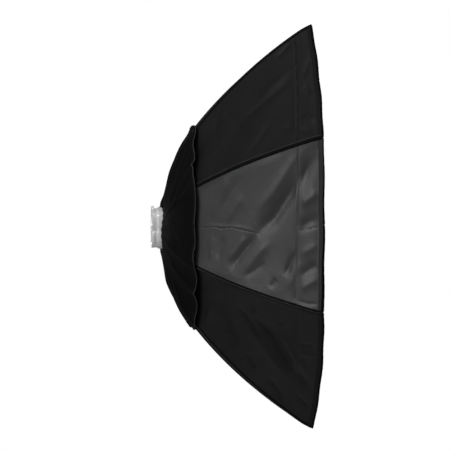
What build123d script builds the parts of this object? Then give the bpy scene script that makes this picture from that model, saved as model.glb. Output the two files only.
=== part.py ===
from build123d import *
import os
from math import asin, cos, degrees, radians, sin

# Eight-sided umbrella-type studio softbox, 950 mm across its corners. All sizes in millimetres.
# Frame: +X is the optical axis and the way the light leaves, +Z is up. The origin is on the axis, at
# the plane where the speed ring seats on the front of the flash. Ribs stand in planes through the
# axis, at angles counted from +Y towards +Z. A profile point is (x, r), r being the distance from the axis.

SIDES = 8
PITCH = 360 / SIDES                  # angle between two ribs
HALF = PITCH / 2                     # angle between a rib and the middle of a panel
RIB_ANGLES = [HALF + PITCH * k for k in range(SIDES)]
PANEL_NAMES = ["left", "upper_left", "top", "upper_right", "right", "lower_right", "bottom", "lower_left"]
QUARTERS = [0, 90, 180, 270]

# speed ring and hub
BORE_R = 42.0                        # flash tube passage
RING_R = 46.5
RING_REAR, RING_FRONT = -14.0, 30.0
BAYONET_R = 44.5                     # the part that enters the flash, behind the seat shoulder
GROOVE_INSET, GROOVE_WIDTH, GROOVE_DEPTH = 6.5, 4.5, 0.8     # turned groove between the lugs and the shoulder
LUG_R = 48.5
LUG_LENGTH = 5.0
LUG_ANGLE = 34.0
LUG_ANGLES = [90, 210, 330]
HUB_R = 58.0
HUB_REAR, HUB_FRONT = 18.0, 31.0
PLATE_REAR = 15.9
PLATE_R = 57.5
EAR_GAP, EAR_THICK = 3.4, 3.0        # half gap between two ears, and one ear's thickness

# ribs
PIVOT_X, PIVOT_R = 24.0, 62.0        # hinge of a rib on the hub
RIB_R = 3.0
EYE_R, EYE_HALF = 4.8, 2.6            # flattened eye at a rib's root, and half its thickness
PIN_R = 2.0
PIN_CLEARANCE = 0.1
REAR_BEND, FRONT_BEND = 290.0, 1000.0
START_HEADING, MIDDLE_HEADING, END_HEADING = 88.0, 55.5, 36.0

# umbrella linkage
STRUT = 70.0                         # pivot to pivot, and hub pivot to rib bracket
BRACKET_OFFSET = 6.5                 # bracket pin, inside the rib's centreline
BRACKET_R = 4.2
STRUT_GAP, STRUT_THICK, STRUT_WIDE = 5.0, 2.0, 7.0
SLOT_REAR, SLOT_FRONT = 0.4, 10.2    # free run of a strut pin in its slider ear, behind and ahead
SLIDER_R0, SLIDER_R1 = 50.0, 57.0
EAR_TOP = 5.2                        # slider ear above its pin
GUIDE_CIRCLE, GUIDE_R = 54.0, 2.5
GUIDE_REAR, END_RING_REAR, END_RING_FRONT = 24.0, 169.0, 175.0

# latch, between two ribs
LATCH_ANGLE = 45.0
BUTTON_R, BUTTON_TOP, BUTTON_BASE = 5.0, 65.0, 58.5
STEM_R, STEM_END = 2.5, 49.5
POCKET_R, POCKET_FLOOR, BOSS_R, BOSS_TOP = 5.3, 52.0, 8.0, 60.0
CATCH_R0, CATCH_R1, CATCH_HALF = 61.0, 62.5, 8.0
CATCH_WINDOW, CATCH_MOUTH = 5.5, 5.1  # half widths of the catch's fork: round the button, and at its mouth
CATCH_REACH = 11.0                    # from the button's centre to the fork's end

# fabric
CLOTH = 1.2
PANEL_IN = 4.4                       # panel's inner face, outside the rib's centreline
PANEL_OUT = PANEL_IN + CLOTH
SEAM_GAP = 0.15                      # half gap between neighbouring fabric solids
SKIRT_HEADING, SKIRT = 30.0, 24.0    # panel beyond the rib's tip
BINDING_WIDE, BINDING_THICK, BINDING_GAP = 11.0, 1.4, 0.2
HOOD_NECK_X, HOOD_NECK_R = 9.2, 47.4
HOOD_FLAT_R, HOOD_MIDDLE, HOOD_HEM = 62.0, (30.5, 141.0), (76.0, 243.0)
DIFFUSER_X, INNER_X, INNER_R = 281.0, 215.0, 290.0
TAPE_LENGTH, TAPE_HALF_WIDE, TAPE_THICK = 22.0, 150.0, 1.0
STRAP_WIDE, STRAP_THICK, STRAP_LAP = 12.0, 1.0, 10.0

FLAT = cos(radians(HALF))            # distance to a flat over distance to a corner

os.makedirs("parts", exist_ok=True)


def save(part, label):
    part.label = label
    export_step(part, f"parts/{label}.step")


def axial_plane(angle, shift=0.0):
    """Plane through the axis: local x along the axis, local y outward, z towards the next rib."""
    a = radians(angle)
    return Plane(origin=(0, 0, 0), x_dir=(1, 0, 0), z_dir=(0, -sin(a), cos(a))).offset(shift)


def cross_plane(x):
    """Plane across the axis at x, with local x along Y and local y along Z."""
    return Plane(origin=(x, 0, 0), x_dir=(0, 1, 0), z_dir=(1, 0, 0))


def radial_plane(angle, x, r):
    """Plane facing outward at one point, with local x along the axis."""
    a = radians(angle)
    return Plane(origin=(x, r * cos(a), r * sin(a)), x_dir=(1, 0, 0), z_dir=(0, cos(a), sin(a)))


def along_bend(start, bend, heading_0, heading):
    """End of an arc that starts at heading_0 and has turned to heading."""
    a, b = radians(heading_0), radians(heading)
    return (start[0] + bend * (sin(a) - sin(b)), start[1] + bend * (cos(b) - cos(a)))


def rib_point(heading, outward=0.0):
    """Point of the rib's centreline where it runs at heading, moved square to it, away from the light."""
    if heading >= MIDDLE_HEADING:
        x, r = along_bend((PIVOT_X, PIVOT_R), REAR_BEND, START_HEADING, heading)
    else:
        x, r = along_bend(rib_point(MIDDLE_HEADING), FRONT_BEND, MIDDLE_HEADING, heading)
    h = radians(heading)
    return (x - outward * sin(h), r + outward * cos(h))


def skirt_point(length, outward):
    """Point on the straight fabric beyond the rib's tip."""
    x, r = rib_point(END_HEADING, outward)
    h = radians(SKIRT_HEADING)
    return (x + length * cos(h), r + length * sin(h))


def flat(point):
    """A corner profile's point, brought to the middle of a flat panel."""
    return (point[0], point[1] * FLAT)


def heading_at(x):
    """Heading of the rib's front bend where it passes x."""
    x0 = rib_point(MIDDLE_HEADING)[0]
    return degrees(asin(sin(radians(MIDDLE_HEADING)) - (x - x0) / FRONT_BEND))


# The strut and the line from hub pivot to bracket are equally long, so the slider's pins stay at PIVOT_R.
chord_heading = START_HEADING - degrees(asin(STRUT / 2 / REAR_BEND))
link_heading = chord_heading - degrees(asin(BRACKET_OFFSET / STRUT))
BRACKET = (PIVOT_X + STRUT * cos(radians(link_heading)), PIVOT_R + STRUT * sin(radians(link_heading)))
SLIDER_X = PIVOT_X + 2 * STRUT * cos(radians(link_heading))
print("link heading", link_heading, "bracket", BRACKET, "slider pins at x", SLIDER_X)

radial_screw_x = (HUB_REAR + GUIDE_REAR) / 2 - 0.5
plate_screw_start, plate_screw_circle = PITCH, 52.0
slider_rear = SLIDER_X - PIN_R - SLOT_REAR - 3.0
slider_front = SLIDER_X + PIN_R + SLOT_FRONT + 3.0
latch_x = (slider_rear + slider_front) / 2

# ---------------------------------------------------------------- speed ring
with BuildPart() as speed_ring:
    with BuildSketch(cross_plane(0)):
        Circle(RING_R)
    extrude(amount=RING_FRONT)
    with BuildSketch(cross_plane(RING_REAR)):
        Circle(BAYONET_R)
    extrude(amount=-RING_REAR)
    for angle in LUG_ANGLES:
        with BuildSketch(cross_plane(RING_REAR)):
            with BuildLine():
                lug_arc = CenterArc((0, 0), LUG_R, angle - LUG_ANGLE / 2, LUG_ANGLE)
                Line(lug_arc @ 1, (0, 0))
                Line((0, 0), lug_arc @ 0)
            make_face()
        extrude(amount=LUG_LENGTH)
    with BuildSketch(cross_plane(RING_REAR)):
        Circle(BORE_R)
    extrude(amount=RING_FRONT - RING_REAR, mode=Mode.SUBTRACT)
    for angle in QUARTERS:
        with BuildSketch(radial_plane(angle, radial_screw_x, BORE_R + 1.5)):
            Circle(2.05)
        extrude(amount=10, mode=Mode.SUBTRACT)
    with BuildSketch(cross_plane(RING_REAR + GROOVE_INSET)):
        Circle(BAYONET_R + 0.5)
        Circle(BAYONET_R - GROOVE_DEPTH, mode=Mode.SUBTRACT)
    extrude(amount=GROOVE_WIDTH, mode=Mode.SUBTRACT)
save(speed_ring.part, "speed_ring")

# ---------------------------------------------------------------- hub

with BuildPart() as hub_ring:
    with BuildSketch(cross_plane(HUB_REAR)):
        Circle(HUB_R)
    extrude(amount=HUB_FRONT - HUB_REAR)
    for angle in RIB_ANGLES:
        with BuildSketch(axial_plane(angle)):
            with Locations((PIVOT_X, PIVOT_R)):
                Circle(EYE_R + 1.2)
            with Locations((PIVOT_X, PIVOT_R - 4)):
                Rectangle(2 * (EYE_R + 1.2) - 1, 9)
        extrude(amount=EAR_GAP + EAR_THICK, both=True)
    with BuildSketch(axial_plane(LATCH_ANGLE)):
        with BuildLine():
            Polyline((PIVOT_X, 54), (PIVOT_X, CATCH_R1), (latch_x + CATCH_REACH, CATCH_R1),
                     (latch_x + CATCH_REACH, CATCH_R0), (HUB_FRONT, CATCH_R0), (HUB_FRONT, 54), close=True)
        make_face()
    extrude(amount=CATCH_HALF, both=True)
    with BuildSketch(radial_plane(LATCH_ANGLE, latch_x, CATCH_R0 - 2)):
        Circle(CATCH_WINDOW)
        with Locations((CATCH_REACH / 2, 0)):
            Rectangle(CATCH_REACH + 1, 2 * CATCH_MOUTH)
    extrude(amount=8, mode=Mode.SUBTRACT)
    for angle in RIB_ANGLES:
        with BuildSketch(axial_plane(angle)):
            with Locations((PIVOT_X, 64.5)):
                Rectangle(HUB_FRONT - HUB_REAR + 8, 18)
        extrude(amount=EAR_GAP, both=True, mode=Mode.SUBTRACT)
        with BuildSketch(axial_plane(angle)):
            with Locations((PIVOT_X, PIVOT_R)):
                Circle(PIN_R + 0.05)
        extrude(amount=12, both=True, mode=Mode.SUBTRACT)
    with BuildSketch(cross_plane(HUB_REAR)):
        Circle(RING_R + 0.1)
    extrude(amount=HUB_FRONT - HUB_REAR, mode=Mode.SUBTRACT)
    for angle in QUARTERS:
        with BuildSketch(radial_plane(angle, radial_screw_x, RING_R - 2)):
            Circle(2.1)
        extrude(amount=20, mode=Mode.SUBTRACT)
    with BuildSketch(cross_plane(GUIDE_REAR)):
        with PolarLocations(GUIDE_CIRCLE, 4):
            Circle(GUIDE_R + 0.05)
    extrude(amount=20, mode=Mode.SUBTRACT)
    with BuildSketch(cross_plane(HUB_REAR)):
        with PolarLocations(plate_screw_circle, 4, start_angle=plate_screw_start):
            Circle(1.55)
    extrude(amount=6, mode=Mode.SUBTRACT)
save(hub_ring.part, "hub_ring")

with BuildPart() as hub_rear_plate:
    with BuildSketch(cross_plane(PLATE_REAR)):
        Circle(PLATE_R)
        Circle(RING_R + 0.2, mode=Mode.SUBTRACT)
    extrude(amount=HUB_REAR - PLATE_REAR)
    with BuildSketch(cross_plane(PLATE_REAR)):
        with PolarLocations(plate_screw_circle, 4, start_angle=plate_screw_start):
            Circle(1.7)
    extrude(amount=10, mode=Mode.SUBTRACT)
    with BuildSketch(cross_plane(PLATE_REAR)):
        with PolarLocations(plate_screw_circle, 4, start_angle=plate_screw_start):
            Circle(3.0)
    extrude(amount=1.6, mode=Mode.SUBTRACT)
save(hub_rear_plate.part, "hub_rear_plate")

with BuildPart() as hub_screws:
    for angle in QUARTERS:
        with BuildSketch(radial_plane(angle, radial_screw_x, BORE_R + 1.7)):
            Circle(2.0)
        extrude(amount=HUB_R + 0.1 - BORE_R - 1.7)
        with BuildSketch(radial_plane(angle, radial_screw_x, HUB_R + 0.1)):
            Circle(3.4)
        extrude(amount=2.2)
    with BuildSketch(cross_plane(PLATE_REAR + 0.1)):
        with PolarLocations(plate_screw_circle, 4, start_angle=plate_screw_start):
            Circle(2.8)
    extrude(amount=1.4)
    with BuildSketch(cross_plane(PLATE_REAR + 1.5)):
        with PolarLocations(plate_screw_circle, 4, start_angle=plate_screw_start):
            Circle(1.5)
    extrude(amount=6)
save(hub_screws.part, "hub_screws")

with BuildPart() as rib_hinge_pins:
    for angle in RIB_ANGLES:
        outer = EAR_GAP + EAR_THICK
        with BuildSketch(axial_plane(angle)):
            with Locations((PIVOT_X, PIVOT_R)):
                Circle(PIN_R)
        extrude(amount=outer + 0.4, both=True)
        for side in (-1, 1):
            with BuildSketch(axial_plane(angle, side * (outer + 0.1))):
                with Locations((PIVOT_X, PIVOT_R)):
                    Circle(PIN_R + 1.1)
            extrude(amount=side * 1.2)
save(rib_hinge_pins.part, "rib_hinge_pins")

# ---------------------------------------------------------------- guide rods and end ring
rod_front = END_RING_REAR + 2.5
with BuildPart() as guide_rods:
    with BuildSketch(cross_plane(GUIDE_REAR + 0.2)):
        with PolarLocations(GUIDE_CIRCLE, 4):
            Circle(GUIDE_R)
    extrude(amount=rod_front - GUIDE_REAR - 0.2)
    with BuildSketch(cross_plane(rod_front - 9)):
        with PolarLocations(GUIDE_CIRCLE, 4):
            Circle(1.55)
    extrude(amount=9, mode=Mode.SUBTRACT)
save(guide_rods.part, "guide_rods")

with BuildPart() as guide_end_ring:
    with BuildSketch(cross_plane(END_RING_REAR)):
        Circle(SLIDER_R1 + 2.5)
        Circle(SLIDER_R0 - 1.5, mode=Mode.SUBTRACT)
    extrude(amount=END_RING_FRONT - END_RING_REAR)
    fillet(guide_end_ring.edges().filter_by(GeomType.CIRCLE), 1.2)
    with BuildSketch(cross_plane(END_RING_REAR)):
        with PolarLocations(GUIDE_CIRCLE, 4):
            Circle(1.7)
    extrude(amount=10, mode=Mode.SUBTRACT)
    with BuildSketch(cross_plane(END_RING_REAR)):
        with PolarLocations(GUIDE_CIRCLE, 4):
            Circle(GUIDE_R + 0.05)
    extrude(amount=rod_front + 0.1 - END_RING_REAR, mode=Mode.SUBTRACT)
save(guide_end_ring.part, "guide_end_ring")

with BuildPart() as guide_end_screws:
    with BuildSketch(cross_plane(rod_front - 8)):
        with PolarLocations(GUIDE_CIRCLE, 4):
            Circle(1.5)
    extrude(amount=END_RING_FRONT + 0.1 - rod_front + 8)
    with BuildSketch(cross_plane(END_RING_FRONT + 0.1)):
        with PolarLocations(GUIDE_CIRCLE, 4):
            Circle(2.9)
    extrude(amount=2.0)
save(guide_end_screws.part, "guide_end_screws")

# ---------------------------------------------------------------- slider, with a slotted ear for each strut
with BuildPart() as slider_ring:
    length = slider_front - slider_rear
    with BuildSketch(cross_plane(slider_rear)):
        Circle(SLIDER_R1)
        with PolarLocations(GUIDE_CIRCLE, 4):
            Circle(GUIDE_R + 3)
        Circle(SLIDER_R0 - 1.5, mode=Mode.SUBTRACT)
    extrude(amount=length)
    for angle in RIB_ANGLES:
        with BuildSketch(axial_plane(angle)):
            with Locations((latch_x, (SLIDER_R0 + PIVOT_R + EAR_TOP) / 2)):
                RectangleRounded(length, PIVOT_R + EAR_TOP - SLIDER_R0, 3)
        extrude(amount=4, both=True)
        with BuildSketch(axial_plane(angle)):
            with Locations((SLIDER_X + (SLOT_FRONT - SLOT_REAR) / 2, PIVOT_R)):
                SlotCenterToCenter(SLOT_FRONT + SLOT_REAR, 2 * (PIN_R + 0.3))
        extrude(amount=10, both=True, mode=Mode.SUBTRACT)
    with BuildSketch(radial_plane(LATCH_ANGLE, latch_x, SLIDER_R0)):
        Circle(BOSS_R)
    extrude(amount=BOSS_TOP - SLIDER_R0)
    with BuildSketch(radial_plane(LATCH_ANGLE, latch_x, POCKET_FLOOR)):
        Circle(POCKET_R)
    extrude(amount=20, mode=Mode.SUBTRACT)
    with BuildSketch(radial_plane(LATCH_ANGLE, latch_x, SLIDER_R0 - 10)):
        Circle(STEM_R + 0.15)
    extrude(amount=20, mode=Mode.SUBTRACT)
    with BuildSketch(cross_plane(slider_rear)):
        with PolarLocations(GUIDE_CIRCLE, 4):
            Circle(GUIDE_R + 0.2)
    extrude(amount=length, mode=Mode.SUBTRACT)
save(slider_ring.part, "slider_ring")

with BuildPart() as latch_button:
    with BuildSketch(radial_plane(LATCH_ANGLE, latch_x, BUTTON_BASE)):
        Circle(BUTTON_R)
    extrude(amount=BUTTON_TOP - BUTTON_BASE)
    fillet(latch_button.edges().sort_by(Axis((0, 0, 0), (0, 1, 1)))[-1:], 1.5)
    with BuildSketch(radial_plane(LATCH_ANGLE, latch_x, STEM_END)):
        Circle(STEM_R)
    extrude(amount=BUTTON_BASE - STEM_END)
save(latch_button.part, "latch_button")

spring_wire, spring_coil = 0.3, 3.9
spring_base = POCKET_FLOOR + spring_wire + 0.05
spring_height = BUTTON_BASE - POCKET_FLOOR - 2 * (spring_wire + 0.05)
with BuildPart() as latch_spring:
    base = radial_plane(LATCH_ANGLE, latch_x, spring_base)
    with BuildLine() as coil:
        Helix(pitch=spring_height / 4, height=spring_height, radius=spring_coil,
              center=base.origin, direction=base.z_dir)
    with BuildSketch(Plane(origin=coil.line @ 0, z_dir=coil.line % 0)):
        Circle(spring_wire)
    sweep(path=coil.line, is_frenet=True)
save(latch_spring.part, "latch_spring")

# ---------------------------------------------------------------- ribs, their fittings and the struts
bracket_heading = START_HEADING - 2 * degrees(asin(STRUT / 2 / REAR_BEND))
bracket_seat = rib_point(bracket_heading)

for number, angle in enumerate(RIB_ANGLES, 1):
    plane = axial_plane(angle)
    with BuildPart() as rib:
        with BuildLine(plane) as wire:
            ThreePointArc(rib_point(START_HEADING), rib_point((START_HEADING + MIDDLE_HEADING) / 2),
                          rib_point(MIDDLE_HEADING))
            ThreePointArc(rib_point(MIDDLE_HEADING), rib_point((MIDDLE_HEADING + END_HEADING) / 2),
                          rib_point(END_HEADING))
        with BuildSketch(Plane(origin=wire.line @ 0, z_dir=wire.line % 0)):
            Circle(RIB_R)
        sweep(path=wire.line)
        with BuildSketch(plane):
            with Locations((PIVOT_X, PIVOT_R)):
                Circle(EYE_R)
        extrude(amount=EYE_HALF, both=True)
        with BuildSketch(plane):
            with Locations((PIVOT_X, PIVOT_R)):
                Circle(PIN_R + PIN_CLEARANCE)
        extrude(amount=10, both=True, mode=Mode.SUBTRACT)
    save(rib.part, f"rib_{number}")

    seat = plane.from_local_coords(Vector(*bracket_seat, 0))
    h = radians(bracket_heading)
    seat_way = plane.from_local_coords(Vector(cos(h), sin(h), 0))
    tip = plane.from_local_coords(Vector(*rib_point(END_HEADING), 0))
    h = radians(END_HEADING)
    tip_way = plane.from_local_coords(Vector(cos(h), sin(h), 0))
    with BuildPart() as fittings:
        with BuildSketch(Plane(origin=seat, z_dir=seat_way)):
            Circle(BRACKET_R)
        extrude(amount=7, both=True)
        with BuildSketch(plane):
            with Locations(BRACKET):
                Circle(PIN_R + 2.2)
            with BuildLine():
                Polyline(rib_point(bracket_heading + 0.8), BRACKET,
                         rib_point(bracket_heading - 0.8), close=True)
            make_face()
        extrude(amount=4, both=True)
        with BuildSketch(Plane(origin=seat, z_dir=seat_way)):
            Circle(RIB_R + 0.2)
        extrude(amount=9, both=True, mode=Mode.SUBTRACT)
        with BuildSketch(plane):
            with Locations(BRACKET):
                Circle(PIN_R + PIN_CLEARANCE)
        extrude(amount=9, both=True, mode=Mode.SUBTRACT)
        with BuildSketch(Plane(origin=tip - tip_way * 10, z_dir=tip_way)):
            Circle(RIB_R + 0.8)
        extrude(amount=13)
        with BuildSketch(Plane(origin=tip - tip_way * 10, z_dir=tip_way)):
            Circle(RIB_R + 0.1)
        extrude(amount=10.1, mode=Mode.SUBTRACT)
    save(fittings.part, f"rib_fittings_{number}")

    outer = STRUT_GAP + STRUT_THICK
    middle = ((BRACKET[0] + SLIDER_X) / 2, (BRACKET[1] + PIVOT_R) / 2)
    with BuildPart() as strut:
        with BuildSketch(plane):
            with Locations(Location((*middle, 0), (0, 0, -link_heading))):
                SlotCenterToCenter(STRUT, STRUT_WIDE)
        extrude(amount=outer, both=True)
        with BuildSketch(plane):
            with Locations(Location((*middle, 0), (0, 0, -link_heading))):
                Rectangle(2 * STRUT, 2 * STRUT_WIDE)
        extrude(amount=STRUT_GAP, both=True, mode=Mode.SUBTRACT)
        with BuildSketch(plane):
            with Locations(BRACKET, (SLIDER_X, PIVOT_R)):
                Circle(PIN_R)
        extrude(amount=outer + 0.8, both=True)
    save(strut.part, f"strut_{number}")

# ---------------------------------------------------------------- side panels, each in two halves
for k, name in enumerate(PANEL_NAMES):
    mid = PITCH * k
    for half, side in (("a", -1), ("b", 1)):
        with BuildPart() as panel:
            with BuildSketch(axial_plane(mid, side * SEAM_GAP)):
                with BuildLine():
                    outer_arc = ThreePointArc(*[flat(rib_point(h, PANEL_OUT)) for h in (
                        MIDDLE_HEADING, (MIDDLE_HEADING + END_HEADING) / 2, END_HEADING)])
                    outer_end = Line(outer_arc @ 1, flat(skirt_point(SKIRT, PANEL_OUT)))
                    inner_arc = ThreePointArc(*[flat(rib_point(h, PANEL_IN)) for h in (
                        MIDDLE_HEADING, (MIDDLE_HEADING + END_HEADING) / 2, END_HEADING)])
                    inner_end = Line(inner_arc @ 1, flat(skirt_point(SKIRT, PANEL_IN)))
                    Line(outer_end @ 1, inner_end @ 1)
                    Line(outer_arc @ 0, inner_arc @ 0)
                make_face()
            extrude(amount=side * 250)
            rib_side = axial_plane(mid + side * HALF, -side * SEAM_GAP)
            split(bisect_by=rib_side, keep=Keep.BOTTOM if side > 0 else Keep.TOP)
        save(panel.part, f"panel_{name}_{half}")

# ---------------------------------------------------------------- binding, hook tape
with BuildPart() as front_binding:
    for k in range(SIDES):
        with BuildPart(mode=Mode.PRIVATE) as strip:
            with BuildSketch(axial_plane(PITCH * k)):
                reach = BINDING_GAP + BINDING_THICK
                with BuildLine():
                    Polyline(*[flat(p) for p in (
                        skirt_point(SKIRT - BINDING_WIDE, PANEL_OUT + reach),
                        skirt_point(SKIRT + reach, PANEL_OUT + reach),
                        skirt_point(SKIRT + reach, PANEL_IN - reach),
                        skirt_point(SKIRT - BINDING_WIDE, PANEL_IN - reach),
                        skirt_point(SKIRT - BINDING_WIDE, PANEL_IN - BINDING_GAP),
                        skirt_point(SKIRT + BINDING_GAP, PANEL_IN - BINDING_GAP),
                        skirt_point(SKIRT + BINDING_GAP, PANEL_OUT + BINDING_GAP),
                        skirt_point(SKIRT - BINDING_WIDE, PANEL_OUT + BINDING_GAP))], close=True)
                make_face()
            extrude(amount=250, both=True)
            split(bisect_by=axial_plane(PITCH * k + HALF, -SEAM_GAP), keep=Keep.BOTTOM)
            split(bisect_by=axial_plane(PITCH * k - HALF, SEAM_GAP), keep=Keep.TOP)
        add(strip.part)
save(front_binding.part, "front_binding")

tape_middle = heading_at(DIFFUSER_X)
tape_turn = degrees(TAPE_LENGTH / FRONT_BEND) / 2
with BuildPart() as hook_tape:
    for k in range(SIDES):
        with BuildSketch(axial_plane(PITCH * k)):
            face_out = PANEL_IN - 0.2
            with BuildLine():
                Polyline(*[flat(rib_point(h, o)) for h, o in (
                    (tape_middle + tape_turn, face_out), (tape_middle - tape_turn, face_out),
                    (tape_middle - tape_turn, face_out - TAPE_THICK),
                    (tape_middle + tape_turn, face_out - TAPE_THICK))], close=True)
            make_face()
        extrude(amount=TAPE_HALF_WIDE, both=True)
save(hook_tape.part, "hook_tape")

# ---------------------------------------------------------------- front diffuser, inner diffuser and its straps
flange_out = PANEL_IN - 0.2 - TAPE_THICK - 0.3
sheet_r = rib_point(tape_middle)[1] + (flange_out - 0.6) / cos(radians(tape_middle))
with BuildPart() as front_diffuser:
    with BuildSketch(cross_plane(DIFFUSER_X - CLOTH / 2)):
        RegularPolygon(sheet_r, SIDES, rotation=HALF)
    extrude(amount=CLOTH)
    for k in range(SIDES):
        with BuildSketch(axial_plane(PITCH * k)):
            with BuildLine():
                Polyline(*[flat(rib_point(h, o)) for h, o in (
                    (tape_middle + tape_turn, flange_out), (tape_middle - tape_turn, flange_out),
                    (tape_middle - tape_turn, flange_out - 1.2),
                    (tape_middle + tape_turn, flange_out - 1.2))], close=True)
            make_face()
        extrude(amount=TAPE_HALF_WIDE, both=True)
    with BuildSketch(cross_plane(DIFFUSER_X - 5)):
        with PolarLocations(rib_point(heading_at(DIFFUSER_X))[1], SIDES, start_angle=HALF):
            Circle(9)
    extrude(amount=10, mode=Mode.SUBTRACT)
save(front_diffuser.part, "front_diffuser")

with BuildPart() as inner_diffuser:
    with BuildSketch(cross_plane(INNER_X - CLOTH / 2)):
        RegularPolygon(INNER_R, SIDES, rotation=HALF)
    extrude(amount=CLOTH)
    with BuildSketch(cross_plane(INNER_X - CLOTH)):
        RegularPolygon(INNER_R, SIDES, rotation=HALF)
        RegularPolygon(INNER_R - 16, SIDES, rotation=HALF, mode=Mode.SUBTRACT)
    extrude(amount=2 * CLOTH)
save(inner_diffuser.part, "inner_diffuser")

strap_rear = INNER_X + CLOTH + 0.1
strap_end = rib_point(heading_at(strap_rear))[1] - RIB_R / sin(radians(heading_at(INNER_X))) - 1.5
with BuildPart() as inner_diffuser_straps:
    for angle in RIB_ANGLES:
        with BuildSketch(axial_plane(angle)):
            with BuildLine():
                Polyline((strap_rear, INNER_R - STRAP_LAP), (strap_rear, strap_end),
                         (strap_rear + STRAP_THICK, strap_end), (strap_rear + STRAP_THICK, INNER_R - STRAP_LAP),
                         close=True)
            make_face()
        extrude(amount=STRAP_WIDE / 2, both=True)
save(inner_diffuser_straps.part, "inner_diffuser_straps")

# ---------------------------------------------------------------- rear hood: the loose skirt over the hub
with BuildPart() as rear_hood:
    for k in range(SIDES):
        with BuildPart(mode=Mode.PRIVATE) as sector:
            with BuildSketch(axial_plane(PITCH * k)):
                with BuildLine():
                    back = Line(flat((HOOD_NECK_X, HOOD_NECK_R)), flat((HOOD_NECK_X, HOOD_FLAT_R)))
                    sweep_back = ThreePointArc(back @ 1, flat(HOOD_MIDDLE), flat(HOOD_HEM))
                    front = Line(flat((HOOD_NECK_X + CLOTH, HOOD_NECK_R)),
                                 flat((HOOD_NECK_X + CLOTH, HOOD_FLAT_R)))
                    sweep_front = ThreePointArc(front @ 1, flat((HOOD_MIDDLE[0] + 1.22, HOOD_MIDDLE[1] - 0.4)),
                                                flat((HOOD_HEM[0] + 1.1, HOOD_HEM[1] - 0.6)))
                    Line(sweep_back @ 1, sweep_front @ 1)
                    Line(back @ 0, front @ 0)
                make_face()
            extrude(amount=150, both=True)
            split(bisect_by=axial_plane(PITCH * k + HALF), keep=Keep.BOTTOM)
            split(bisect_by=axial_plane(PITCH * k - HALF), keep=Keep.TOP)
        add(sector.part)
    with BuildSketch(cross_plane(0)):
        Circle(HOOD_NECK_R)
    extrude(amount=HOOD_NECK_X + 10, mode=Mode.SUBTRACT)
save(rear_hood.part, "rear_hood")
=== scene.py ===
"""Looks of the eight-sided umbrella-type studio softbox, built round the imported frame.

Lengths in the shape functions are millimetres, in the row frame: +X along the optical axis, +Z up.
A gore is one side panel, between two ribs. Along it, s runs from its rear edge to the front, and
u runs from -1 at the rib with the lower angle to +1 at the next rib.
"""
from math import cos, pi, radians, sin

import bpy
import numpy as np
from mathutils import Matrix, Vector


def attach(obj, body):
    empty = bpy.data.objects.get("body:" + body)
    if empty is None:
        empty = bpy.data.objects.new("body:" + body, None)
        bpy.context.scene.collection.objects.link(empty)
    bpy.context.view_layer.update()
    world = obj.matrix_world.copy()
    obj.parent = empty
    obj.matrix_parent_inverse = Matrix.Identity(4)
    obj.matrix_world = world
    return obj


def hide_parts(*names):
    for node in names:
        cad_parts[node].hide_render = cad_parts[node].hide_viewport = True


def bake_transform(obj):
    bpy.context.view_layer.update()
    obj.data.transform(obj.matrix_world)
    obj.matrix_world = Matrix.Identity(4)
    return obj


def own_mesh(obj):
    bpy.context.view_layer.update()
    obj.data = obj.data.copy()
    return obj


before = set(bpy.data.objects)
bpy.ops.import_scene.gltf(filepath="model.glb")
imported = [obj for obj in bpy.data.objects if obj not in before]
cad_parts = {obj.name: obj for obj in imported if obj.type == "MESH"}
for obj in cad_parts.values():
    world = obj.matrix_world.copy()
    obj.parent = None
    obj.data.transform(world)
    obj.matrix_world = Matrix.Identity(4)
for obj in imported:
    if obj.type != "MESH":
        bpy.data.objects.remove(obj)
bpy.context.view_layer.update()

MM = 0.001
AHEAD = np.array([1.0, 0, 0])         # the way the light goes
SIDES = 8
PITCH = 360 / SIDES
HALF = PITCH / 2
FLAT = cos(radians(HALF))
SIDE = sin(radians(HALF))
RIB_ANGLES = [HALF + PITCH * k for k in range(SIDES)]
NAMES = ["left", "upper_left", "top", "upper_right", "right", "lower_right", "bottom", "lower_left"]
GREY = ("left", "right")

# the rib's front bend, and the cloth over it
MIDDLE_X, MIDDLE_R = 74.8, 216.1      # where the front bend starts
FRONT_BEND = 1000.0
MIDDLE_HEADING, END_HEADING = 55.5, 36.0
BEND_LENGTH = FRONT_BEND * radians(MIDDLE_HEADING - END_HEADING)
SKIRT_HEADING, SKIRT = 30.0, 24.0
LENGTH = BEND_LENGTH + SKIRT
CLOTH_LIFT = 5.0                      # middle of the cloth, outside the rib's centreline
CLOTH_THICK = 0.7
SAG = 5.0                             # how far the cloth pulls in halfway between two ribs
# how far forward the front edge stands at each rib, and how much further halfway between two ribs
CORNER_FORWARD = [-2.0, -2.0, 0.7, -3.0, -5.5, -2.0, -2.0, -2.0]
EDGE_BULGE = {"left": 1.0, "upper_left": 4.0, "top": 3.0, "upper_right": 3.4, "right": 0.9,
              "lower_right": 7.0, "bottom": 4.0, "lower_left": 3.0}


# ---------------- small helpers
def smooth(a, b, x):
    t = np.clip((np.asarray(x, float) - a) / (b - a), 0, 1)
    return t * t * (3 - 2 * t)


def unit(v):
    return v / np.maximum(np.linalg.norm(v, axis=-1, keepdims=True), 1e-9)


def outward_of(angle):
    a = radians(angle)
    return np.array([0.0, cos(a), sin(a)])


def round_of(angle):
    """Unit vector square to outward_of(angle), towards higher angles."""
    a = radians(angle)
    return np.array([0.0, -sin(a), cos(a)])


def off_middle(angle):
    """Degrees from angle to the middle of the gore it lies in."""
    return (angle + HALF) % PITCH - HALF


def about_axis(x, r, turn):
    """Points at x along the axis and r away from it, turn radians round."""
    return np.stack(np.broadcast_arrays(x, r * np.cos(turn), r * np.sin(turn)), -1)


def scene_object(name, data):
    obj = bpy.data.objects.new(name, data)
    bpy.context.scene.collection.objects.link(obj)
    return obj


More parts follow.
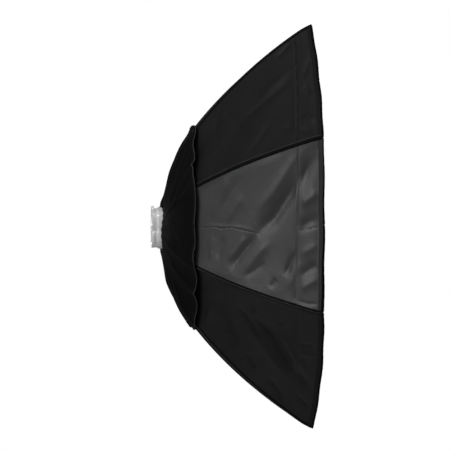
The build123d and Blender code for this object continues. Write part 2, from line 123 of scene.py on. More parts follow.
def new_object(name, points, faces, materials, face_material=None, uvs=None, normals=None):
    """A mesh object. points in millimetres; uvs one per point, in metres; normals one per point."""
    mesh = bpy.data.meshes.new(name)
    mesh.from_pydata((np.asarray(points, float) * MM).tolist(), [], [list(map(int, f)) for f in faces])
    obj = scene_object(name, mesh)
    for m in materials:
        mesh.materials.append(m)
    if face_material is not None:
        mesh.polygons.foreach_set("material_index", np.asarray(face_material, np.int32))
    mesh.polygons.foreach_set("use_smooth", np.ones(len(mesh.polygons), bool))
    if uvs is not None:
        layer = mesh.uv_layers.new(name="UVMap")
        loops = np.zeros(len(mesh.loops), np.int32)
        mesh.loops.foreach_get("vertex_index", loops)
        layer.data.foreach_set("uv", np.asarray(uvs, np.float32)[loops].ravel())
    mesh.validate()
    mesh.update()
    if normals is not None:
        mesh.normals_split_custom_set_from_vertices(np.asarray(normals, float).tolist())
    return obj


def grid_faces(rows, columns, first=0, flip=False):
    i, j = np.meshgrid(np.arange(rows - 1), np.arange(columns - 1), indexing="ij")
    a = first + (i * columns + j).ravel()
    quads = np.stack([a, a + 1, a + columns + 1, a + columns], 1)
    return quads[:, ::-1] if flip else quads


def grid_normals(points, sign_like):
    """Normals of a grid of points, turned to the side of sign_like."""
    along = np.gradient(points, axis=0)
    across = np.gradient(points, axis=1)
    n = unit(np.cross(along, across))
    return n * np.sign((n * sign_like).sum(-1, keepdims=True) + 1e-12)


def sheet_object(name, points, normals, thick, material, uv, lining=None):
    """A closed sheet round a grid of middle points. lining: the inner side's material, if it differs."""
    rows, columns = points.shape[:2]
    n = rows * columns
    p, m = points.reshape(-1, 3), normals.reshape(-1, 3)
    verts = np.concatenate([p + m * thick / 2, p - m * thick / 2])
    way = np.cross(points[0, 1] - points[0, 0], points[1, 0] - points[0, 0]) @ normals[0, 0]
    outer = grid_faces(rows, columns, 0, flip=way < 0)
    inner = grid_faces(rows, columns, n, flip=way >= 0)
    ring = np.concatenate([np.arange(columns - 1), np.arange(columns - 1, n - 1, columns),
                           np.arange(n - 1, n - columns, -1), np.arange(n - columns, 0, -columns)])
    nxt = np.roll(ring, -1)
    edge = np.stack([ring, nxt, nxt + n, ring + n], 1)
    if way >= 0:
        edge = edge[:, ::-1]
    faces = np.concatenate([outer, inner, edge])
    which = np.repeat([0, 1, 0], [len(outer), len(inner), len(edge)])
    uvs = np.tile(uv.reshape(-1, 2), (2, 1))
    return new_object(name, verts, faces, [material, lining or material], which, uvs, np.concatenate([m, -m]))


def tube_object(name, path, radius, material, sides=8):
    """A round cord along a path of points, with rounded ends. radius: one value, or one for each point."""
    path = np.asarray(path, float)
    way = unit(np.gradient(path, axis=0))
    side = unit(np.cross(way, np.roll(way, 1, axis=1) + [0.3, 0.1, 0.2]))  # any way but along the path
    for i in range(1, len(path)):
        side[i] = unit(side[i - 1] - way[i] * (side[i - 1] @ way[i]))
    up = np.cross(way, side)
    turn = np.arange(sides) * 2 * pi / sides
    ring = np.cos(turn)[:, None, None] * side + np.sin(turn)[:, None, None] * up
    scale = np.ones(len(path)) * radius
    scale[[0, -1]] *= 0.55                # rounds the ends
    points = path[None] + ring * scale[None, :, None]
    verts = points.transpose(1, 0, 2).reshape(-1, 3)
    faces = []
    for i in range(len(path) - 1):
        for j in range(sides):
            k = (j + 1) % sides
            faces.append((i * sides + j, i * sides + k, (i + 1) * sides + k, (i + 1) * sides + j))
    faces.append(tuple(range(sides))[::-1])
    faces.append(tuple((len(path) - 1) * sides + j for j in range(sides)))
    return new_object(name, verts, faces, [material])


def stitches_object(name, rows, material, pitch=4.2, length=2.9, width=0.42):
    """Stitches along rows of (points, normals): one small grain of thread for each."""
    verts, faces = [], []
    for points, normals in rows:
        step = np.linalg.norm(np.diff(points, axis=0), axis=1)
        run = np.concatenate([[0], np.cumsum(step)])
        count = int(run[-1] // pitch)
        for c in (np.arange(count) + 0.5) * run[-1] / count:
            ends = [np.array([np.interp(c + d, run, points[:, k]) for k in range(3)])
                    for d in (-length / 2, length / 2)]
            n = unit(np.array([np.interp(c, run, normals[:, k]) for k in range(3)]))
            middle, way = (ends[0] + ends[1]) / 2, unit(ends[1] - ends[0])
            side = np.cross(way, n)
            first = len(verts)
            verts += [ends[0], ends[1], middle + side * width, middle + n * width * 1.2,
                      middle - side * width, middle - n * width]
            for j in range(4):
                a, b = first + 2 + j, first + 2 + (j + 1) % 4
                faces += [(first, b, a), (first + 1, a, b)]
    return new_object(name, verts, faces, [material])


# ---------------- materials
BAND_SPACING = 2 * pi / 20            # of Blender's wave texture, at scale 1


class Nodes:
    """A material under construction, with short calls for its nodes."""

    def __init__(self, name, color, rough, metal=0.0, specular=0.5, sheen=0.0):
        self.material = bpy.data.materials.new(name)
        self.material.use_nodes = True
        self.tree = self.material.node_tree
        self.shader = self.tree.nodes["Principled BSDF"]
        values = {"Base Color": (*color, 1), "Roughness": rough, "Metallic": metal,
                  "Specular IOR Level": specular, "Sheen Weight": sheen}
        for key, value in values.items():
            self.shader.inputs[key].default_value = value
        self.material.diffuse_color = (*color, 1)

    def add(self, kind, **settings):
        node = self.tree.nodes.new("ShaderNode" + kind)
        for key, value in settings.items():
            if key in node.inputs:
                node.inputs[key].default_value = value
            else:
                setattr(node, key.lower(), value)
        return node

    def link(self, a, out, b, into):
        self.tree.links.new(a.outputs[out], b.inputs[into])

    def place(self, source="UV", scale=(1, 1, 1)):
        """Texture coordinates in metres: the cut cloth's own (UV) or the object's (Object)."""
        at = self.add("TexCoord")
        mapping = self.add("Mapping", Scale=scale)
        self.link(at, source, mapping, "Vector")
        return mapping

    def noise(self, where, scale, detail=3.0, rough=0.55):
        node = self.add("TexNoise", Scale=scale, Detail=detail, Roughness=rough)
        self.link(where, "Vector", node, "Vector")
        return node

    def mottle(self, texture, color, low, high):
        """Base colour that wanders between low and high times color."""
        node = self.add("ValToRGB")
        for stop, at, share in zip(node.color_ramp.elements, (0.3, 0.7), (low, high)):
            stop.position = at
            stop.color = (*[min(1.0, c * share) for c in color], 1)
        self.link(texture, "Fac", node, "Fac")
        self.link(node, "Color", self.shader, "Base Color")

    def roughen(self, texture, low, high):
        """Roughness that wanders between low and high."""
        node = self.add("MapRange")
        node.inputs["To Min"].default_value = low
        node.inputs["To Max"].default_value = high
        self.link(texture, "Fac", node, "Value")
        self.link(node, "Result", self.shader, "Roughness")

    def bump(self, texture, strength, distance, after=None):
        """Bump from a texture's first output, added to the one it comes after."""
        node = self.add("Bump", Strength=strength, Distance=distance)
        self.link(texture, 0, node, "Height")
        if after is not None:
            self.link(after, "Normal", node, "Normal")
        self.link(node, "Normal", self.shader, "Normal")
        return node

    def weave(self, where, pitch):
        """Plain weave: warp and weft bands, pitch metres apart."""
        bands = []
        for way in ("X", "Y"):
            node = self.add("TexWave", Scale=BAND_SPACING / pitch, Distortion=0.6, Detail=1.0)
            node.wave_type = "BANDS"
            node.bands_direction = way
            self.link(where, "Vector", node, "Vector")
            bands.append(node)
        mix = self.add("Math")
        mix.operation = "MULTIPLY"
        self.link(bands[0], "Fac", mix, 0)
        self.link(bands[1], "Fac", mix, 1)
        return mix


def cloth_material(name, color, rough, specular, pitch, sheen=0.0, weave=0.25, source="UV"):
    """Woven cloth or cord; pitch is that of its threads, in metres."""
    m = Nodes(name, color, rough, specular=specular, sheen=sheen)
    at = m.place(source)
    threads = m.weave(at, pitch)
    m.mottle(m.noise(at, 14.0, 4.0), color, 0.82, 1.18)
    m.roughen(m.noise(at, 420.0, 2.0), rough - 0.07, rough + 0.07)
    first = m.bump(threads, weave, pitch * 0.35)
    m.bump(m.noise(at, 60.0, 4.0), 0.12, 0.0012, after=first)
    return m.material


def lining_material():
    """Silver reflective lining with a pebbled face."""
    color = (0.62, 0.63, 0.65)
    m = Nodes("silver_lining", color, 0.36, metal=0.85)
    at = m.place("UV")
    pebble = m.add("TexVoronoi", Scale=420.0)
    m.link(at, "Vector", pebble, "Vector")
    m.mottle(m.noise(at, 20.0), color, 0.88, 1.1)
    first = m.bump(pebble, 0.35, 0.0008)
    m.bump(m.noise(at, 90.0), 0.2, 0.0015, after=first)
    m.roughen(m.noise(at, 200.0), 0.3, 0.46)
    return m.material


def brushed_material(name, color, rough, metal=1.0, stretch=(2, 60, 60), grain=0.1):
    """Turned or drawn metal: fine lines along the object's x or round it."""
    m = Nodes(name, color, rough, metal=metal)
    at = m.place("Object", scale=stretch)
    lines = m.noise(at, 30.0, 5.0, 0.6)
    m.mottle(m.noise(m.place("Object"), 45.0, 3.0), color, 0.9, 1.07)
    m.roughen(lines, rough - 0.08, rough + 0.1)
    m.bump(lines, grain, 0.0004)
    return m.material


def moulded_material(name, color, rough, grain=0.25, coat=0.0):
    """Moulded plastic or baked paint with a fine spark-eroded grain."""
    m = Nodes(name, color, rough)
    m.shader.inputs["Coat Weight"].default_value = coat
    at = m.place("Object")
    blotch = m.noise(at, 50.0, 3.0)
    m.mottle(blotch, color, 0.86, 1.14)
    m.roughen(blotch, rough - 0.06, rough + 0.06)
    m.bump(m.noise(at, 1500.0, 2.0), grain, 0.0002)
    return m.material


def diffuser_material():
    """White ripstop, translucent in life but drawn opaque: a fine weave with a slow unevenness; its stronger
    ripstop threads are left out.
    """
    color = (0.80, 0.80, 0.785)
    m = Nodes("diffuser_white", color, 0.85, specular=0.25, sheen=0.25)
    at = m.place("UV")
    threads = m.weave(at, 0.0008)
    m.mottle(m.noise(at, 9.0), color, 0.96, 1.03)
    first = m.bump(threads, 0.3, 0.0003)
    m.bump(m.noise(at, 40.0, 4.0), 0.15, 0.002, after=first)
    m.roughen(m.noise(at, 300.0), 0.78, 0.9)
    return m.material


BLACK = cloth_material("black_nylon", (0.0060, 0.0060, 0.0062), 0.5, 0.22, 0.0007)
GREY_CLOTH = cloth_material("grey_coated_nylon", (0.048, 0.0485, 0.049), 0.42, 0.5, 0.0007, weave=0.15)
HOOD = cloth_material("hood_knit", (0.0026, 0.0026, 0.0027), 0.52, 0.065, 0.0011, weave=0.4)
BAND = cloth_material("seam_tape", (0.0052, 0.0052, 0.0053), 0.8, 0.08, 0.0012, weave=0.5, source="Object")
PIPING = cloth_material("piping", (0.038, 0.038, 0.0385), 0.6, 0.3, 0.0006, source="Object")
BINDING = cloth_material("binding_tape", (0.030, 0.030, 0.0305), 0.7, 0.3, 0.0012, weave=0.5)
BLACK_BINDING = cloth_material("black_binding_tape", (0.009, 0.009, 0.0092), 0.7, 0.16, 0.0012, weave=0.5)
BEAD = cloth_material("rolled_edge", (0.003, 0.003, 0.003), 0.8, 0.08, 0.0012, source="Object")
THREAD = cloth_material("thread", (0.02, 0.02, 0.02), 0.6, 0.3, 0.0004, source="Object")
HEM_THREAD = cloth_material("hem_cord", (0.035, 0.035, 0.036), 0.6, 0.3, 0.0006, source="Object")
HOOK = cloth_material("hook_tape", (0.012, 0.012, 0.012), 0.95, 0.1, 0.0016, weave=0.9, sheen=0.1)
ELASTIC = cloth_material("elastic", (0.02, 0.02, 0.02), 0.8, 0.2, 0.0014, weave=0.8)
WHITE_TAPE = cloth_material("white_tape", (0.72, 0.72, 0.70), 0.8, 0.25, 0.0012, weave=0.5)
LINING = lining_material()
DIFFUSER = diffuser_material()
RING_METAL = brushed_material("ring_aluminium", (0.97, 0.97, 0.975), 0.5, metal=0.12, stretch=(60, 2, 2))
ROD_METAL = brushed_material("rod_steel", (0.52, 0.52, 0.53), 0.3)
SCREW_METAL = brushed_material("screw_black_zinc", (0.10, 0.10, 0.105), 0.38, grain=0.05)
RIB_PAINT = moulded_material("rib_black_coat", (0.02, 0.02, 0.021), 0.4, grain=0.1)
PLASTIC = moulded_material("hub_black_nylon", (0.016, 0.016, 0.0165), 0.55)
BUTTON = moulded_material("button_red", (0.42, 0.02, 0.015), 0.3, grain=0.08, coat=0.3)


# ---------------- the cloth's shape
def corner_profile(s):
    """(x, r) of the cloth over a rib, at length s from the panel's rear edge."""
    s = np.asarray(s, float)
    h = np.radians(MIDDLE_HEADING) - np.minimum(s, BEND_LENGTH) / FRONT_BEND
    h0 = radians(MIDDLE_HEADING)
    x = MIDDLE_X + FRONT_BEND * (sin(h0) - np.sin(h)) - CLOTH_LIFT * np.sin(h)
    r = MIDDLE_R + FRONT_BEND * (np.cos(h) - cos(h0)) + CLOTH_LIFT * np.cos(h)
    past = np.maximum(s - BEND_LENGTH, 0)
    skirt = radians(SKIRT_HEADING)
    return x + past * cos(skirt), r + past * sin(skirt)


def half_width(s):
    """Half a gore's width at length s."""
    return corner_profile(s)[1] * SIDE


def along_crease(s, u, path):
    """For each point: distance from a crease in millimetres, and how far along it, 0 to 1."""
    best = np.full(np.shape(s), 1e9)
    place = np.zeros(np.shape(s))
    corners = np.array([(at, across * half_width(at)) for at, across in path])
    runs = np.hypot(*np.diff(corners, axis=0).T)
    starts = np.concatenate([[0], np.cumsum(runs)]) / runs.sum()
    for i, (p, q) in enumerate(zip(corners, np.diff(corners, axis=0))):
        ds, dt = s - p[0], u * half_width(s) - p[1]
        k = np.clip((ds * q[0] + dt * q[1]) / (q @ q), 0, 1)
        gap = np.hypot(ds - k * q[0], dt - k * q[1])
        near = gap < best
        best = np.where(near, gap, best)
        place = np.where(near, starts[i] + k * (starts[i + 1] - starts[i]), place)
    return best, place


# Creases of the three panels that face the camera: path of (s, u), height in millimetres (below zero is a
# valley), width.
RIGHT_CREASES = [
    ([(16, 0.01), (40, 0.03), (58, 0.0), (84, 0.045), (112, 0.02), (145, 0.06), (205, 0.13)], -0.8, 1.5),
    ([(16, -0.02), (52, -0.02), (90, 0.0), (145, 0.02), (200, 0.1)], 0.7, 4.5),
    ([(90, -0.12), (90, 0.32)], -0.5, 2.0),
    ([(352, -0.84), (326, -0.7), (298, -0.52), (268, -0.36), (232, -0.1), (196, 0.08), (166, 0.18)],
     -8.0, 19.0),
    ([(330, -0.99), (296, -0.84), (266, -0.66), (230, -0.42), (184, -0.2)], 2.6, 14.0),
    ([(352, -0.38), (332, -0.32), (306, -0.24)], 3.0, 13.0),
    ([(154, -0.52), (130, -0.33), (100, -0.04)], 1.6, 13.0),
    ([(150, -0.86), (104, -0.5), (66, -0.2)], -1.2, 14.0),
    ([(112, -0.9), (84, -0.5), (56, -0.16)], 1.2, 13.0),
    ([(190, 0.14), (158, 0.36), (136, 0.55), (112, 0.8)], -4.4, 12.0),
    ([(226, 0.22), (184, 0.5), (150, 0.84)], 2.4, 12.0),
    ([(160, 0.16), (134, 0.4), (104, 0.66)], 1.8, 10.0),
    ([(214, 0.52), (184, 0.68), (150, 0.84)], -2.0, 10.0),
    ([(96, 0.2), (82, 0.4), (74, 0.7)], -1.6, 9.0),
    ([(62, 0.2), (56, 0.45), (52, 0.75)], 1.2, 9.0),
    ([(294, 0.33), (280, 0.48), (264, 0.68)], -4.0, 8.0),
    ([(306, 0.44), (292, 0.62), (276, 0.84)], 2.4, 9.0),
    ([(244, 0.72), (236, 0.8), (226, 0.88)], -2.0, 7.0),
    ([(299, 0.06), (325, 0.05), (354, 0.01)], -0.9, 2.2),
    ([(298, 0.06), (320, -0.02), (354, -0.1)], -3.6, 15.0),
    ([(300, 0.93), (322, 0.945), (352, 0.92)], -4.0, 3.5),
    ([(352, 0.45), (328, 0.53), (304, 0.63)], -3.0, 11.0),
    ([(354, 0.62), (330, 0.7), (306, 0.8)], 2.0, 10.0),
    ([(352, 0.22), (328, 0.3), (304, 0.36)], 1.6, 11.0),
]
LOWER_RIGHT_CREASES = [
    ([(178, -0.42), (206, -0.34), (240, -0.2), (270, 0.02), (292, 0.19), (320, 0.29), (352, 0.38)],
     -9.0, 17.0),
    ([(262, -0.42), (280, -0.2), (304, 0.02), (340, 0.16)], 4.0, 14.0),
    ([(160, -0.16), (206, 0.02), (250, 0.26), (284, 0.44)], 3.4, 17.0),
    ([(74, -0.62), (92, -0.24), (112, 0.06), (132, 0.32), (130, 0.68)], -6.0, 15.0),
    ([(64, -0.2), (56, 0.2), (50, 0.6)], 2.8, 11.0),
    ([(136, -0.48), (160, -0.36), (186, -0.22), (206, -0.06)], -2.4, 9.0),
    ([(174, 0.44), (188, 0.56), (204, 0.66)], -3.0, 9.0),
    ([(176, -0.76), (184, -0.44)], -2.8, 8.0),
    ([(222, -0.44), (234, -0.34)], -1.4, 7.0), ([(252, -0.6), (264, -0.52)], -1.4, 7.0),
    ([(304, -0.3), (350, -0.41)], -1.8, 7.0), ([(306, -0.14), (352, -0.22)], 1.6, 7.0),
    ([(306, 0.6), (350, 0.7)], -2.6, 9.0), ([(240, 0.6), (288, 0.86)], -3.4, 12.0),
]
UPPER_RIGHT_CREASES = [
    ([(306, -0.29), (267, -0.22), (230, -0.16), (190, -0.12), (136, -0.06)], -3.2, 15.0),
    ([(300, -0.44), (262, -0.36), (214, -0.3)], 1.4, 14.0),
    ([(110, -0.68), (142, -0.1), (164, 0.24)], -3.0, 14.0),
    ([(84, -0.72), (80, -0.3), (90, 0.16)], -2.6, 14.0),
    ([(312, -0.96), (292, -0.88), (268, -0.82)], -2.4, 9.0),
    ([(346, -0.44), (332, -0.18)], -1.8, 7.0), ([(330, -0.06), (342, 0.2)], -1.8, 7.0),
    ([(350, 0.9), (310, 0.72), (262, 0.5)], -3.4, 11.0), ([(352, 0.68), (318, 0.5)], 2.0, 10.0),
    ([(240, 0.3), (200, 0.6), (160, 0.86)], -1.6, 13.0),
]
# seam of the diffuser's hook tape: its s halfway between the ribs, and how much that grows towards u = 1
STITCH_S = {"upper_right": (310.0, -11.0), "right": (298.0, -5.5), "lower_right": (303.0, 6.0)}
STITCH_PINCH = 1.3


def stitch_at(k, u):
    middle, slope = STITCH_S.get(NAMES[k], (302.0, 0.0))
    return middle + slope * u


def random_creases(seed, strength):
    """Creases for a panel that isn't shown up close: a middle fold and corner pulls, placed by chance."""
    rng = np.random.default_rng(seed)
    found = []
    lean = rng.uniform(-0.05, 0.05)
    found.append(([(10, lean), (110, lean + 0.05), (200, lean * 2)], -1.8, 4.5))
    for side in (-1, 1):
        a, b = rng.uniform(0.1, 0.4), rng.uniform(150, 210)
        found.append(([(352, side * 0.96), (290, side * rng.uniform(0.6, 0.7)), (b, side * a)],
                      -rng.uniform(2.5, 4.5), rng.uniform(11, 16)))
        found.append(([(356, side * 0.76), (310, side * 0.52), (270, side * 0.3)],
                      rng.uniform(1.5, 2.6), 12.0))
        for _ in range(3):
            s0, u0 = rng.uniform(60, 250), side * rng.uniform(0.1, 0.5)
            s1, u1 = s0 - rng.uniform(30, 80), side * rng.uniform(0.7, 0.95)
            found.append(([(s0, u0), ((s0 + s1) / 2 + rng.uniform(-8, 8), (u0 + u1) / 2), (s1, u1)],
                          rng.choice([-1, 1]) * rng.uniform(1.2, 2.6), rng.uniform(7, 12)))
        s0, u0 = rng.uniform(303, 312), side * rng.uniform(0.1, 0.7)
        found.append(([(s0, u0), (s0 + 34, u0 + rng.uniform(-0.15, 0.15))],
                      rng.choice([-1, 1]) * rng.uniform(1.2, 2.2), 8.0))
    return [(path, height * strength, width) for path, height, width in found]


CREASES = {name: random_creases(40 + k, 0.75) for k, name in enumerate(NAMES)}
CREASES["left"] = random_creases(7, 1.0)
CREASES.update(right=RIGHT_CREASES, lower_right=LOWER_RIGHT_CREASES, upper_right=UPPER_RIGHT_CREASES)


def ripple(seed, s, u):
    """Slow unevenness of stretched cloth, in millimetres."""
    rng = np.random.default_rng(900 + seed)
    total = np.zeros(np.broadcast(s, u).shape)
    for _ in range(7):
        ks, ku = rng.uniform(0.008, 0.05), rng.uniform(1.0, 6.0)
        total = total + rng.uniform(0.2, 0.5) * np.sin(ks * s + ku * u + rng.uniform(0, 2 * pi))
    return total


def gore_depth(k, s, u):
    """How far the cloth of gore k stands outside its flat cut, in millimetres."""
    s, u = np.broadcast_arrays(np.asarray(s, float), np.asarray(u, float))
    held = (1 - smooth(0.86, 1.0, np.abs(u))) * (1 - 0.75 * smooth(LENGTH - 16, LENGTH - 2, s))
    total = ripple(k, s, u)
    for path, height, width in CREASES[NAMES[k]]:
        gap, place = along_crease(s, u, path)
        fade = smooth(-0.08, 0.3, place) * (1 - smooth(0.65, 1.05, place))
        total = total + height * fade / (1 + (gap / width) ** 2) ** 1.5
    seam = s - stitch_at(k, u)
    total = total * held * (1 - 0.7 * np.exp(-(seam / 14) ** 2))
    total = total - SAG * (1 - u ** 2) * (0.45 + 0.55 * np.sin(pi * np.clip(s / LENGTH, 0, 1)))
    return total - STITCH_PINCH * np.exp(-(seam / 2.2) ** 2) * (1 - smooth(0.9, 0.97, np.abs(u)))


def gore_normal(k, s):
    """Outward normal of gore k's flat cut at length s."""
    h = np.radians(MIDDLE_HEADING) - np.minimum(s, BEND_LENGTH) / FRONT_BEND
    h = np.where(s > BEND_LENGTH, radians(SKIRT_HEADING), h)
    out = outward_of(PITCH * k)
    n = -np.sin(h)[..., None] * FLAT * AHEAD + np.cos(h)[..., None] * out
    return unit(n)


def cloth_point(k, s, u, lift=0.0):
    """Point of gore k's cloth at (s, u), lifted outward from its middle."""
    s, u = np.broadcast_arrays(np.asarray(s, float), np.asarray(u, float))
    x, r = corner_profile(s)
    low, high = CORNER_FORWARD[(k - 1) % SIDES], CORNER_FORWARD[k]
    edge = low + (high - low) * (u + 1) / 2 + EDGE_BULGE[NAMES[k]] * (1 - u ** 2)
    wave = 0.8 * np.sin(9.0 * u + 1.7 * k) * smooth(LENGTH - 30, LENGTH, s) * (1 - u ** 4)
    x = x + edge * smooth(LENGTH - 120, LENGTH, s) + wave
    base = (x[..., None] * AHEAD + (r * FLAT)[..., None] * outward_of(PITCH * k)
            + (u * r * SIDE)[..., None] * round_of(PITCH * k))
    return base + gore_normal(k, s) * (gore_depth(k, s, u) + lift)[..., None]


def cloth_frame(k, s, u, lift=0.0):
    """Points and true normals of gore k's cloth on a grid of s (rows) and u (columns)."""
    points = cloth_point(k, s, u, lift)
    e = 0.6
    along = cloth_point(k, s + e, u, lift) - cloth_point(k, s - e, u, lift)
    du = e / half_width(s)
    across = cloth_point(k, s, u + du, lift) - cloth_point(k, s, u - du, lift)
    n = unit(np.cross(along, across))
    flat_n = gore_normal(k, np.broadcast_to(s, n.shape[:-1]))
    return points, n * np.sign((n * flat_n).sum(-1, keepdims=True))


def halves(k):
    """The two halves of gore k: letter, the rib it hangs on, and the u at that rib; both end at u = 0."""
    return (("a", (k - 1) % SIDES, -1.0), ("b", k, 1.0))


def gather(piece):
    """Bakes piece's placement into its own mesh."""
    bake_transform(piece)


def trim(piece):
    """A trimming of the front edge or its seams: its placement is baked into its mesh, as for its half panel.
    """
    gather(piece)


def on_rib(piece, rib):
    """Marks a trimming that stays on its rib."""
    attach(piece, f"rib_{rib + 1}")


def flat_size(width, length):
    return (width * MM, length * MM)


# ---------------- side panels
PANEL_ROWS, PANEL_COLUMNS = 112, 58
HOOK_BEHIND, HOOK_AHEAD = 10.0, 12.0  # the hook tape, behind and ahead of its seam
HOOK_SHARE, HOOK_AT = 0.9, 300.0      # share of the half panel's width that it covers, measured at this s


def side_panel(k, half, u0):
    s = np.linspace(0, LENGTH - 1.0, PANEL_ROWS)[:, None]
    u = np.linspace(u0 * 0.999, 0, PANEL_COLUMNS)[None, :]
    points, normals = cloth_frame(k, s, u)
    across = u * half_width(s)
    uv = np.stack([across * MM, np.broadcast_to(s, across.shape) * MM], -1)
    outer = GREY_CLOTH if NAMES[k] in GREY else BLACK
    node = f"panel_{NAMES[k]}_{half}"
    piece = sheet_object(f"{node}_cloth", points, normals, CLOTH_THICK, outer, uv, LINING)
    gather(piece)
    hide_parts(node)


def hook_seam(k, half, u0):
    """Two rows of stitches, and the hook tape that they hold inside the panel."""
    u = np.linspace(u0 * 0.93, u0 * 0.004, 70)
    rows = [cloth_frame(k, stitch_at(k, u) + at, u, CLOTH_THICK / 2 + 0.1) for at in (-8.5, 0)]
    trim(stitches_object(f"hook_seam_{NAMES[k]}_{half}", rows, THREAD))
    u = np.linspace(u0 * HOOK_SHARE, 0, 40)[None, :]
    s = stitch_at(k, u) + np.linspace(-HOOK_BEHIND, HOOK_AHEAD, 8)[:, None]
    points, normals = cloth_frame(k, s, u, -CLOTH_THICK / 2 - 0.75)
    uv = np.stack([u * half_width(s), s], -1) * MM
    tape = sheet_object(f"hook_tape_{NAMES[k]}_{half}", points, normals, 1.0, HOOK, uv)
    gather(tape)
    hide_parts("hook_tape")


# ---------------- front edge
TAPE = 11.0                           # how far the binding reaches in from the edge
# the rolled edge's radius at u = -1 and at u = +1
BEAD_RADIUS = {"upper_right": (3.2, 2.4), "right": (1.4, 3.4), "lower_right": (2.8, 2.4)}
# section of the folded binding: distance past the cloth's edge, and height above its middle
BINDING_SECTION = ((-TAPE, 0.62), (-TAPE * 0.6, 0.8), (-TAPE * 0.25, 0.85), (-0.5, 0.8), (0.7, 0.45),
                   (0.9, 0.0), (0.7, -0.45), (-0.5, -0.8), (-TAPE * 0.3, -0.85), (-TAPE * 0.65, -0.8),
                   (-TAPE, -0.62))


def front_edge(k, half, u0):
    """Binding tape folded over the cloth's front edge, with a rolled black edge and its stitches."""
    u = np.linspace(u0 * 0.998, 0, 64)
    points = []
    for ds, lift in BINDING_SECTION:
        pucker = 0.22 * np.sin(u * 95 + 3 * k + ds) * abs(lift)
        points.append(cloth_point(k, np.full_like(u, LENGTH + ds), u, lift + np.sign(lift) * pucker))
    points = np.array(points)
    middle = cloth_point(k, np.full_like(u, LENGTH - TAPE / 2), u)
    normals = grid_normals(points, points - middle[None])
    half_side = half_width(LENGTH)
    uv = np.stack(np.broadcast_arrays(u * half_side, 2.6 * np.arange(len(points))[:, None]), -1) * MM
    tape = BINDING if NAMES[k] in GREY else BLACK_BINDING
    piece = sheet_object(f"front_binding_{NAMES[k]}_{half}", points, normals, 0.45, tape, uv)
    trim(piece)
    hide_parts("front_binding")

    radius = np.interp(u, (-1, 1), BEAD_RADIUS.get(NAMES[k], (2.6, 2.6)))
    path = cloth_point(k, LENGTH + 2 - radius * 0.75, u, 0.25 * np.sin(u * 60))
    bead = tube_object(f"front_bead_{NAMES[k]}_{half}", path, radius, BEAD)
    trim(bead)

    rows = [cloth_frame(k, np.full_like(u, LENGTH - TAPE + 1.6), u, 1.15)]
    trim(stitches_object(f"front_seam_{NAMES[k]}_{half}", rows, THREAD))


# ---------------- seam bands over the ribs
BAND_NARROW, BAND_EVEN, BAND_WIDE = 3.2, 5.2, 7.0
PIPING_AT = {3: -7.2, 4: 1.8}         # the cord's distance from the line of ribs 4 and 5; elsewhere 0


def band_widths(rib):
    """How far the band over a rib reaches onto the gore below and above it."""
    low, high = NAMES[rib], NAMES[(rib + 1) % SIDES]
    if low in GREY:
        return BAND_NARROW, BAND_WIDE
    if high in GREY:
        return BAND_WIDE, BAND_NARROW
    return BAND_EVEN, BAND_EVEN


def beside_rib(rib, s, w, lift):
    """Point on the cloth at distance w from a rib's line; below zero is the gore with the lower angle."""
    low, high = rib, (rib + 1) % SIDES
    half = half_width(s)
    a = cloth_point(low, s, 1 - np.abs(w) / half, 0.0)
    b = cloth_point(high, s, -1 + np.abs(w) / half, 0.0)
    t = smooth(-5, 5, w)[..., None]
    n = unit((1 - t) * gore_normal(low, s) + t * gore_normal(high, s))
    return np.where((w < 0)[..., None], a, b) + n * lift[..., None], n


def rib_strip(name, rib, s, w, lift, thick):
    """A strip of webbing along a rib."""
    points, _ = beside_rib(rib, s, w, lift)
    normals = grid_normals(points, outward_of(RIB_ANGLES[rib]) - 0.5 * AHEAD)
    piece = sheet_object(f"{name}_{rib + 1}", points, normals, thick, BAND, np.stack([w, s], -1) * MM)
    on_rib(piece, rib)
    return piece


def seam_band(rib):
    low, high = band_widths(rib)
    s, w = np.meshgrid(np.linspace(4, LENGTH + 2, 120), np.linspace(-low, high, 27), indexing="ij")
    inset = np.minimum(w + low, high - w)
    edge = smooth(0, 0.8, inset) - 1.5 * np.exp(-((inset - 1.5) / 0.6) ** 2)
    rod = 0.8 * np.exp(-(w / 2.6) ** 2)
    uneven = 0.18 * np.sin(s * 0.21 + rib) * np.exp(-(w / 5) ** 2)
    piece = rib_strip("seam_band", rib, s, w, 0.5 + 0.3 * edge + rod + uneven, 0.7)

    s = np.linspace(6, LENGTH - 2, 90)
    rows = [beside_rib(rib, s, np.full_like(s, at), np.ones_like(s)) for at in (-low + 1.5, high - 1.5)]
    on_rib(stitches_object(f"seam_stitches_{rib + 1}", rows, THREAD), rib)

    at = np.full_like(s, PIPING_AT.get(rib, 0.0))
    path, _ = beside_rib(rib, s, at, 1.1 + 0.9 * np.exp(-(at / 2.6) ** 2))
    on_rib(tube_object(f"seam_piping_{rib + 1}", path, 1.0, PIPING), rib)


POCKET_LONG, POCKET_WIDE, POCKET_FLAT = 43.0, 32.0, 44.0       # POCKET_FLAT: its width before folding
POCKET_INSET = 3.0                    # from the front edge


def corner_pocket(rib):
    """Webbing pocket inside the corner that takes the rib's tip, and its bar tacks outside."""
    front, side = LENGTH - POCKET_INSET, POCKET_WIDE / 2
    s, w = np.meshgrid(np.linspace(front - POCKET_LONG, front, 30), np.linspace(-side, side, 31),
                       indexing="ij")
    lift = -1.9 - 0.3 * np.sin(s * 0.55 + rib * 2) * np.exp(-(w / 9) ** 2) - 8.6 * np.exp(-(w / 7.0) ** 4)
    piece = rib_strip("corner_pocket", rib, s, w, lift, 1.2)
    low, high = band_widths(rib)
    rows = []
    for at in (LENGTH - 44, LENGTH - 40):
        w = np.linspace(-low + 0.8, high - 0.8, 12)
        rows.append(beside_rib(rib, np.full_like(w, at), w, 1.35 + 1.5 * np.exp(-(w / 3.6) ** 2)))
    on_rib(stitches_object(f"corner_tacks_{rib + 1}", rows, THREAD, pitch=1.6, length=1.5, width=0.45), rib)


